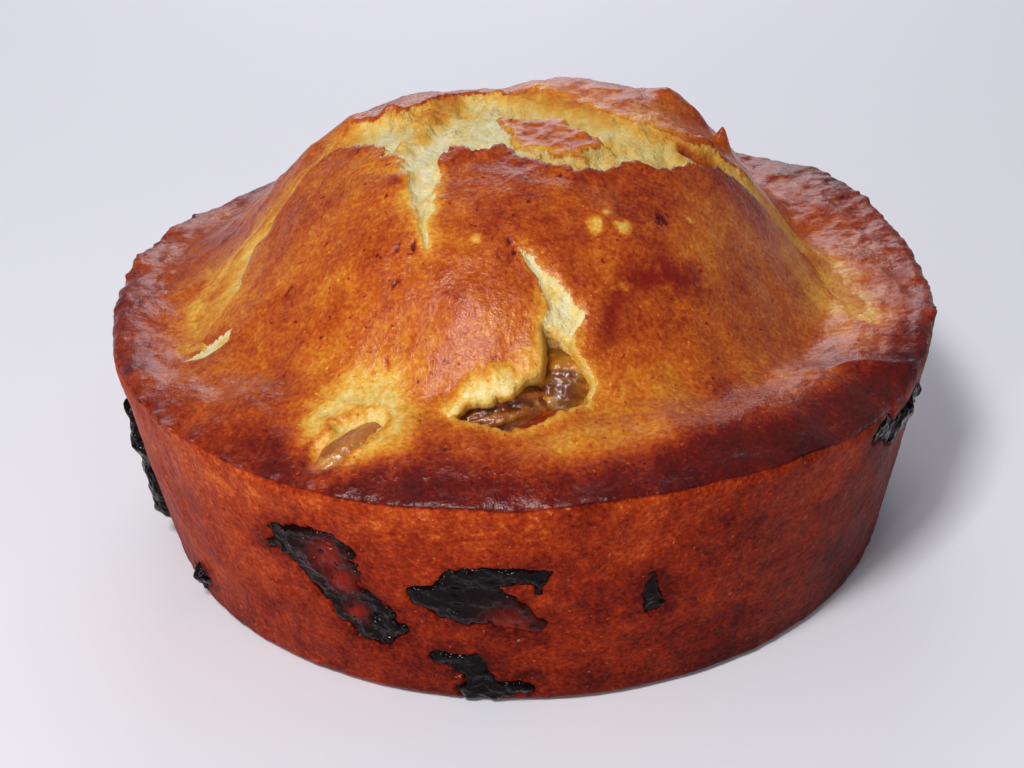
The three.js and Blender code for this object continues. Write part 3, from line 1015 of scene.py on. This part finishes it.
def crust_finish():
    """The top: crust browned unevenly, torn crumb in the cracks, painted shade deep in the large opening,
    and an oily sheen.
    """
    m = Finish("golden_crust")
    middle = m.noise(3.2, 3, 0.6, offset=0.31)
    fine = m.noise(1, 3, 0.6, offset=0.57)
    ragged = m.math("MULTIPLY", m.math("SUBTRACT", m.noise(1.2, 3, 0.7, offset=0.9), 0.5), 2)
    crumb_depth = m.math("ADD", m.number("crumb"), ragged)
    is_crumb = m.range(crumb_depth, -0.05, 0.3)
    brown = mottled(m, m.number("brown"))
    brown = m.math("ADD", brown, dark_specks(m, 1.6, 0.25, 0.22))
    brown = m.math("SUBTRACT", brown, pale_specks(m, 1.3, 0.2))
    crust = m.ramp(brown, BAKING)
    stain = m.math("MULTIPLY", m.number("stain"), m.range(middle, 0.25, 0.55), clamp=True)
    crust = m.mix(m.math("MULTIPLY", stain, 0.9), crust, srgb(122, 14, 4))
    crumb = m.ramp(mottled(m, m.number("crumb_brown"), 0.1, 0.3, 0.2), BAKING)
    colour = m.mix(is_crumb, crust, crumb)
    # Painted shade: the deep floor of the large opening is coloured dark red-brown.
    colour = m.mix(m.number("hole"), colour, srgb(112, 40, 10))

    grain = m.noise(0.55, 3, 0.7, offset=0.13)
    crumb_lumps = m.math("MULTIPLY", m.math("SUBTRACT", m.noise(1.7, 4, 0.6, offset=0.45), 0.5), is_crumb)
    heights = [(middle, 0.25), (crumb_lumps, 1), (fine, 0.2), (grain, 0.08)]
    sheen = m.range(m.noise(9, 3, 0.6, offset=0.77), 0.35, 0.65, 0.17, 0.3)
    rough = m.math("ADD", sheen, m.math("MULTIPLY", is_crumb, 0.35))
    return m.finish(
        base_color=colour,
        roughness=rough,
        normal=m.bump(heights),
        specular_ior_level=0.34,
    )


def side_finish():
    """The side and base, baked against the tin: red-brown, fine-grained, with orange patches and pale
    specks painted as tiny glints.
    """
    m = Finish("side_crust")
    large = m.noise(16, 4, 0.6, offset=0.2)
    middle = m.noise(3.5, 4, 0.6, offset=0.4)
    brown = mottled(m, m.number("brown"), 0.42, 0.3, 0.5)
    syrup = m.math("MULTIPLY", m.range(m.number("near_plum"), -7, 0), m.range(large, 0.3, 0.55))
    brown = m.math("ADD", brown, m.math("MULTIPLY", syrup, 0.1))
    colour = m.ramp(brown, WALL_BAKING)
    # Painted highlights: pale specks that stand for the tiny glints of the side's grain.
    colour = m.mix(pale_specks(m, 1.2, 0.5), colour, srgb(226, 140, 84))
    colour = m.mix(dark_specks(m, 1.5, 0.24, 0.7), colour, srgb(60, 10, 8))
    grain = m.noise(0.6, 3, 0.7, offset=0.8)
    heights = [(middle, 0.4), (m.noise(1.3, 3, 0.6, offset=0.5), 0.45), (grain, 0.2)]
    return m.finish(
        base_color=colour,
        roughness=m.range(large, 0.3, 0.7, 0.34, 0.5),
        normal=m.bump(heights),
        ior=1.25,
        specular_ior_level=0.15,
    )


def caramel_finish():
    """Plum burnt to black glossy caramel, with red-brown flesh showing through in places."""
    m = Finish("black_caramel")
    window = m.math("MULTIPLY", m.number("window"), m.range(m.noise(3, 3), 0.3, 0.46), clamp=True)
    colour = m.mix(window, srgb(12, 4, 5), srgb(122, 24, 10))
    heights = [(m.noise(2.6, 1, 0.5), 0.85), (m.noise(1.2, 1, 0.5, offset=0.3), 0.32)]
    return m.finish(
        base_color=colour,
        roughness=m.range(m.noise(1.5, 3, offset=0.5), 0.4, 0.7, 0.04, 0.12),
        normal=m.bump(heights),
        ior=1.2,
        specular_ior_level=0.5,
    )


# The flesh of each plum in an opening: its finish's name, then its main, light and dark colours; the dark
# one is painted shade in the hollows of its folds.
FLESH = {
    "crater_plum_left": ("olive_flesh", srgb(160, 88, 24), srgb(206, 142, 52), srgb(96, 38, 10)),
    "crater_plum_front": ("red_flesh", srgb(168, 58, 8), srgb(190, 90, 20), srgb(130, 34, 6)),
    "crater_plum_right": ("amber_flesh", srgb(176, 112, 26), srgb(210, 162, 62), srgb(108, 54, 12)),
    "dimple_plum": ("orange_flesh", srgb(188, 116, 48), srgb(214, 156, 76), srgb(156, 84, 32)),
}


def flesh_finish(name, main_colour, light, dark):
    """Cooked plum flesh: wet and translucent, painted darker as shade in the hollows of its folds."""
    m = Finish(name)
    fold_height = m.math("ADD", m.math("MULTIPLY", m.number("fold"), 0.5), 0.5)
    patch = m.noise(4, 4, 0.6)
    # Painted shade: the dark colour goes where the folds sink in.
    colour = m.mix(m.range(fold_height, 0.25, 0.75), dark, main_colour)
    colour = m.mix(m.math("MULTIPLY", m.range(patch, 0.5, 0.75), 0.7), colour, light)
    heights = [(m.noise(1.6, 3, 0.6, offset=0.2), 0.4), (m.noise(0.6, 2, offset=0.4), 0.1)]
    return m.finish(
        base_color=colour,
        roughness=m.range(patch, 0.3, 0.7, 0.12, 0.32),
        normal=m.bump(heights),
        subsurface_weight=0.4,
        subsurface_radius=(1.0, 0.45, 0.15),
        subsurface_scale=2.5 * MM,
        coat_weight=0.25,
        coat_roughness=0.05,
    )


# -------- the stage


CAMERA_PLACE = Vector((-3, -416.5, 269.7)) * MM
CAMERA_PITCH = math.radians(30.03)
CAMERA_ROLL = math.radians(-1.86)
CAMERA_LENS = 66.8


def make_camera():
    data = bpy.data.cameras.new("camera")
    data.lens = CAMERA_LENS
    data.clip_start = 0.01
    camera = put_in_scene("camera", data)
    look = Matrix.Rotation(math.pi / 2 - CAMERA_PITCH, 4, "X") @ Matrix.Rotation(CAMERA_ROLL, 4, "Z")
    camera.matrix_world = Matrix.Translation(CAMERA_PLACE) @ look
    bpy.context.scene.camera = camera


def make_light(name, place, size, power, colour=(1, 1, 1)):
    """A square soft light at place, in metres, aimed at the middle of the cake."""
    data = bpy.data.lights.new(name, "AREA")
    data.size = size
    data.energy = power
    data.color = colour
    light = put_in_scene(name, data)
    aim = Vector((0, 0, 0.05)) - Vector(place)
    light.matrix_world = Matrix.Translation(place) @ aim.to_track_quat("-Z", "Y").to_matrix().to_4x4()


def make_floor():
    mesh = bpy.data.meshes.new("floor")
    half = 6
    corners = [(-half, -half, 0), (half, -half, 0), (half, half, 0), (-half, half, 0)]
    mesh.from_pydata(corners, [], [(0, 1, 2, 3)])
    floor = put_in_scene("floor", mesh)
    m = Finish("pale_floor")
    mesh.materials.append(m.finish(base_color=srgb(248, 248, 254), roughness=0.7, specular_ior_level=0.2))


def make_world():
    world = bpy.data.worlds.new("studio")
    world.use_nodes = True
    background = world.node_tree.nodes["Background"]
    background.inputs["Color"].default_value = srgb(244, 244, 255)
    background.inputs["Strength"].default_value = 0.25
    bpy.context.scene.world = world


# -------- making it all

make_camera()
make_world()
make_floor()
make_light("overhead", (-0.28, -0.56, 0.88), 0.2, 6.5)
make_light("window", (0, 0.85, 0.45), 0.6, 2.6, (0.96, 0.95, 1))
make_light("front", (-0.45, -0.85, 0.12), 0.09, 2.8)
bpy.context.scene.view_settings.view_transform = "Standard"

cake, face_slots = build_cake()
cake.data.materials.append(crust_finish())
cake.data.materials.append(side_finish())
cake.data.polygons.foreach_set("material_index", face_slots)
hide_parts("cake")
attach(cake, "root")

caramel = caramel_finish()
for node in SIDE_PLUMS:
    plum = build_side_plum(node)
    plum.data.materials.append(caramel)
    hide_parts(node)
    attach(plum, "root")

for node in OPEN_PLUMS:
    plum = build_open_plum(node)
    plum.data.materials.append(flesh_finish(*FLESH[node]))
    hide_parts(node)
    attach(plum, "root")
